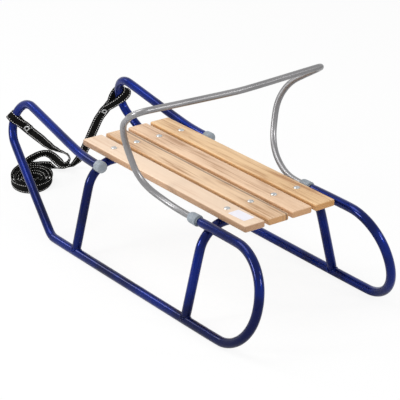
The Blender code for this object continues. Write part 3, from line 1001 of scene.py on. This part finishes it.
def stitch_rows(rows, share_of_thread=1):
    """Many short stitches joined in one piece; a row holds (point, face direction) pairs."""
    sizes = sled_sizes()
    radius = sizes.thread_radius * share_of_thread
    length = sizes.stitch_length
    mesh = bmesh.new()
    for row in rows:
        travel = travel_of([point for point, _ in row])
        start = 0.6 * MM
        while start + length < travel[-1]:
            rings = []
            for share, thick, lift in STITCH:
                so_far = start + share * length
                rings.append(thread_ring(mesh, row, travel, so_far, radius * thick, radius * lift))
            for first, second in zip(rings, rings[1:]):
                for k in range(THREAD_FACETS):
                    follow = (k + 1) % THREAD_FACETS
                    mesh.faces.new((first[k], first[follow], second[follow], second[k]))
            mesh.faces.new(list(reversed(rings[0])))
            mesh.faces.new(rings[-1])
            start += sizes.stitch_pitch
    return meshed(mesh)


def edge_rows(sections):
    """Four rows of stitching: near both edges of both faces."""
    sizes = sled_sizes()
    reach = sizes.strap_width / 2 - 3.5 * MM
    lift = sizes.strap_thickness / 2
    rows = []
    for edge in (-1, 1):
        for side in (-1, 1):
            rows.append([(point + width * edge * reach + face * side * lift, face * side)
                         for point, width, face in sections])
    return rows


def strap_start(hand):
    """Middle of the loop on the tube, the strap's pull, its width direction and the tube's there."""
    _, aim, _, side = TABS[hand]
    place = DATUM + Vector((515.3, side * 142.8, 209)) * MM
    pull = (aim + DATUM - place).normalized()
    bend = radians(9.9)
    down = Vector((0, side * sin(SIDE_LEAN), -cos(SIDE_LEAN)))
    tube = down * cos(bend) + X * sin(bend)
    width = (tube.project(pull) - tube).normalized()
    return place, pull, width, tube


def sewn_band(name, sewing, node, sections, finishes, more_rows=(), share_of_thread=1):
    """A band of webbing that stands for a CAD node, and its stitches."""
    cloth, thread = finishes
    band = dress(webbing(sections), name, cloth, [node])
    sewn = stitch_rows([*edge_rows(sections), *more_rows], share_of_thread)
    return band, dress(sewn, sewing, thread)


class SLED_OT_strap(bpy.types.Operator):
    """Sew the pull strap: loops with doubled tabs, eyelets, two runs and the loose roll"""

    bl_idname = "sled.strap"
    bl_label = "Pull Strap"

    def execute(self, context):
        finishes = (webbing_finish(), thread_finish())
        eyelets = self.eyelets()
        for hand, (length, _, stations, _) in TABS.items():
            place, pull, width, _ = strap_start(hand)
            landing = [point + DATUM for point in roll_landing(LANDINGS[hand], APPROACHES[hand])]
            begin = LOOP_MEETS_RUN[hand]
            sections = run_of(place + pull * begin, pull, length - begin, width, stations, landing)
            run, sewn = sewn_band(f"strap_band_{hand}", f"strap_sewing_{hand}", f"strap_run_{hand}",
                                  sections, finishes)
            self.loop(hand, finishes)
        self.roll(finishes)
        return {"FINISHED"}

    @staticmethod
    def eyelets():
        """Rolled tube eyelets through both layers of the tabs."""
        thickness = sled_sizes().strap_thickness / MM
        low = -thickness / 2 - 0.1
        high = thickness * 1.5 + 0.25
        bore = 2.9
        flange = 6.2
        profile = [
            (low - 0.9, bore + 0.6), (low - 0.9, flange - 0.8), (low - 0.3, flange), (low, flange - 0.3),
            (low, bore + 0.9), (high, bore + 0.9), (high, flange - 0.3), (high + 0.3, flange),
            (high + 0.9, flange - 0.9), (high + 1.2, flange - 2), (high + 0.9, bore + 0.5),
            (high, bore), (low, bore), (low - 0.9, bore + 0.6),
        ]
        stands = []
        for hand, (length, _, _, side) in TABS.items():
            place, pull, width, _ = strap_start(hand)
            turn = heading(pull.cross(width) * side)
            stands.append((place + pull * (length - EYELET_BEFORE_END), turn))
        nickel = zinc_finish("eyelet_nickel", 0.18)
        eyelets = dict(zip(TABS, stood(turned(profile, 40, closed=True), stands)))
        for hand, piece in eyelets.items():
            dress(piece, f"nickel_eyelet_{hand}", nickel, [f"strap_eyelet_{hand}"])
        return eyelets

    @staticmethod
    def loop(hand, finishes):
        """Round the tube and back over the run as the tab's second layer, on the viewer's side."""
        sizes = sled_sizes()
        thickness = sizes.strap_thickness
        length, _, _, side = TABS[hand]
        place, pull, width, tube = strap_start(hand)
        over = pull.cross(width) * side
        layer = thickness + 0.15 * MM
        skew = width * 1.5 * MM
        points = [place + pull * reach + over * layer + skew for reach in (length, length - 16 * MM)]
        if hand == "right":
            ahead = tube.cross(Y).normalized()
            inward = ahead.cross(tube)
            for down, forward, within in TEARDROP:
                points.append(place + (tube * down + ahead * forward + inward * within) * MM)
            points.append(place + pull * LOOP_MEETS_RUN[hand])
            points.append(place + pull * (LOOP_MEETS_RUN[hand] + 2 * MM))
            first_row = length - 22 * MM
        else:
            stretch = 1 / abs(width.dot(tube))
            room = TUBE_R + thickness / 2 + 0.5 * MM
            points.append(place + pull * 22 * MM + over * (layer + 1.5 * MM) + skew * 0.5)
            for step in range(9):
                angle = radians(62 + 29.5 * step)
                slack = 2.5 * MM * max(0, -cos(angle))
                points.append(place + pull * (room * stretch + slack) * cos(angle)
                              + over * (room + slack * 0.3) * sin(angle))
            points.append(place + pull * 15.5 * MM - over * 2.2 * MM)
            points.append(place + pull * 17.5 * MM - over * 1.2 * MM)
            first_row = 19 * MM
        sections = sections_of(curve_through(points, 1.5 * MM), lambda so_far, tangent: width)
        reach = sizes.strap_width / 2 - 2 * MM
        rows = []
        for along in (first_row, length - 3 * MM):
            middle = place + pull * along + over * (layer + thickness / 2)
            rows.append([(middle - width * reach, over), (middle + width * reach, over)])
        sewn_band(f"strap_eye_{hand}", f"eye_sewing_{hand}", f"strap_loop_{hand}", sections, finishes,
                  rows)

    @staticmethod
    def roll(finishes):
        """The doubled strap wound in loose oval turns, standing on its edge."""
        turns = sled_sizes().roll_turns
        step = radians(10)
        outer = LANDINGS["left"]
        back = LANDINGS["right"]
        inner = outer + turns * 2 * pi

        def share_at(angle):
            return OUTER_SHARE - 0.29 * max(0, (angle - outer) / (2 * pi) - 0.35)

        def strand(angle, inset, waves, phase):
            """From where a strand lands to the hairpin; inset is how much further in it lies."""
            points = []
            while angle < inner:
                late = min(1, max(0, (angle - back) / (outer - back)))
                share = share_at(angle) - inset * late + 0.01 * sin(waves * angle + phase)
                points.append(roll_point(angle, share))
                angle += step
            return points

        strand_out = strand(outer, 0, 3.1, 0)
        strand_back = strand(back, 0.13, 2.3, 1)
        onward = (strand_out[-1] - strand_out[-2]).normalized() * 7 * MM
        hairpin = (strand_out[-1] + strand_back[-1]) / 2 + onward
        points = [point + DATUM for point in strand_out + [hairpin] + strand_back[::-1]]
        fine = curve_through(points, 3 * MM)

        def lean(so_far, _):
            tilt = 0.1 * sin(17 * so_far) + 0.07 * sin(41 * so_far + 2)
            return Z + X * tilt + Y * tilt * 0.6

        band, sewn = sewn_band("strap_roll_band", "strap_roll_sewing", "strap_roll",
                               sections_of(fine, lean), finishes, share_of_thread=0.66)


class SLED_OT_stage(bpy.types.Operator):
    """Set the camera, soft lamps, white surroundings and the floor"""

    bl_idname = "sled.stage"
    bl_label = "Stage"

    def execute(self, context):
        scene = context.scene
        scene.view_settings.view_transform = "Standard"
        self.camera(scene)
        self.surroundings(scene)
        self.floor()
        self.lamps()
        return {"FINISHED"}

    @staticmethod
    def camera(scene):
        distance = 3.966
        target = DATUM + Z * 148.7 * MM
        data = bpy.data.cameras.new("photo_camera")
        data.sensor_width = 36
        data.lens = 168.5
        eye = added("photo_camera", data)
        eye.location = target + TO_VIEWER * distance
        eye.rotation_euler = (-TO_VIEWER).to_track_quat("-Z", "Y").to_euler()
        scene.camera = eye

    @staticmethod
    def surroundings(scene):
        """White to the camera and in reflections, a plain soft grey as light."""
        scene.world = bpy.data.worlds.new("studio")
        studio = Graph(scene.world, "World Output")
        studio.tree.nodes.remove(studio.tree.nodes["Background"])
        camera, mirror, glass = (studio.node("ShaderNodeLightPath", output=f"Is {ray} Ray")
                                 for ray in ("Camera", "Glossy", "Transmission"))
        soft, white = (studio.node("ShaderNodeBackground", {}, {"Color": WHITE, "Strength": strength})
                       for strength in (0.45, 1))
        studio.show_mix(camera.larger(mirror.larger(glass)), soft, white)

    @staticmethod
    def floor():
        """A plain floor that all but glows to the camera, and takes shadows."""
        deselect()
        bpy.ops.mesh.primitive_plane_add(size=24, location=(0, 0, 0))
        floor = bpy.context.object
        floor.name = "studio_floor"
        finish = Finish("studio_white", {"Roughness": 0.9, "Specular IOR Level": 0})
        cloud = finish.noise(finish.places(), 0.6)
        finish.feed("Base Color", finish.blend(cloud, (0.97, 0.97, 0.97), (0.95, 0.95, 0.95)))
        glow = finish.node("ShaderNodeEmission", {}, {"Color": WHITE, "Strength": 1})
        seen = finish.node("ShaderNodeLightPath", output="Is Camera Ray") * 0.88
        finish.show_mix(seen, Signal(finish, finish.shader.outputs[0]), glow)
        floor.data.materials.append(finish.material)

    @staticmethod
    def lamps():
        """A broad key from the photo's upper left, and four smaller ones for the tubes' highlights."""
        target = Vector((0, 0, 0.15))
        lamps = [("key", (1.2, 1.4, 3.4), 2.2, 54), ("fill", (-3.4, -0.6, 2), 0.8, 34),
                 ("side_fill", (0.9, 3.6, 1.5), 1.1, 54), ("rim", (2.96, 1.2, 2.4), 0.9, 14),
                 ("bar_light", (-2.6, -2.2, 2.4), 0.5, 12)]
        for name, place, size, power in lamps:
            data = bpy.data.lights.new(name, "AREA")
            data.shape = "DISK"
            data.size = size
            data.energy = power
            lamp = added(name, data)
            lamp.location = place
            lamp.rotation_euler = (target - Vector(place)).to_track_quat("-Z", "Y").to_euler()


class SLED_OT_paint(bpy.types.Operator):
    """Mix the frame's blue paint, which several pieces share"""

    bl_idname = "sled.paint"
    bl_label = "Frame Paint"

    def execute(self, context):
        context.scene["paint"] = paint_finish()
        return {"FINISHED"}


class SLED_PT_panel(bpy.types.Panel):
    """Lists the sled's operators"""

    bl_idname = "SLED_PT_panel"
    bl_label = "Sled"
    bl_space_type = "VIEW_3D"
    bl_region_type = "UI"
    bl_category = "Sled"

    def draw(self, context):
        for operator in OPERATORS:
            self.layout.operator(operator.bl_idname)


OPERATORS = [SLED_OT_paint, SLED_OT_stage, SLED_OT_strap, SLED_OT_side_frames, SLED_OT_arches,
             SLED_OT_hoop, SLED_OT_plastics, SLED_OT_slats, SLED_OT_bolts, SLED_OT_welds,
             SLED_OT_sticker]
CLASSES = [SledSizes, SledColours, *OPERATORS, SLED_PT_panel]


def register():
    for cls in CLASSES:
        bpy.utils.register_class(cls)
    bpy.types.Scene.sled_sizes = PointerProperty(type=SledSizes)
    bpy.types.Scene.sled_colours = PointerProperty(type=SledColours)


def unregister():
    del bpy.types.Scene.sled_colours
    del bpy.types.Scene.sled_sizes
    for cls in reversed(CLASSES):
        bpy.utils.unregister_class(cls)


def main():
    register()
    for operator in OPERATORS:
        group, name = operator.bl_idname.split(".")
        getattr(getattr(bpy.ops, group), name)()


if __name__ == "__main__":
    main()
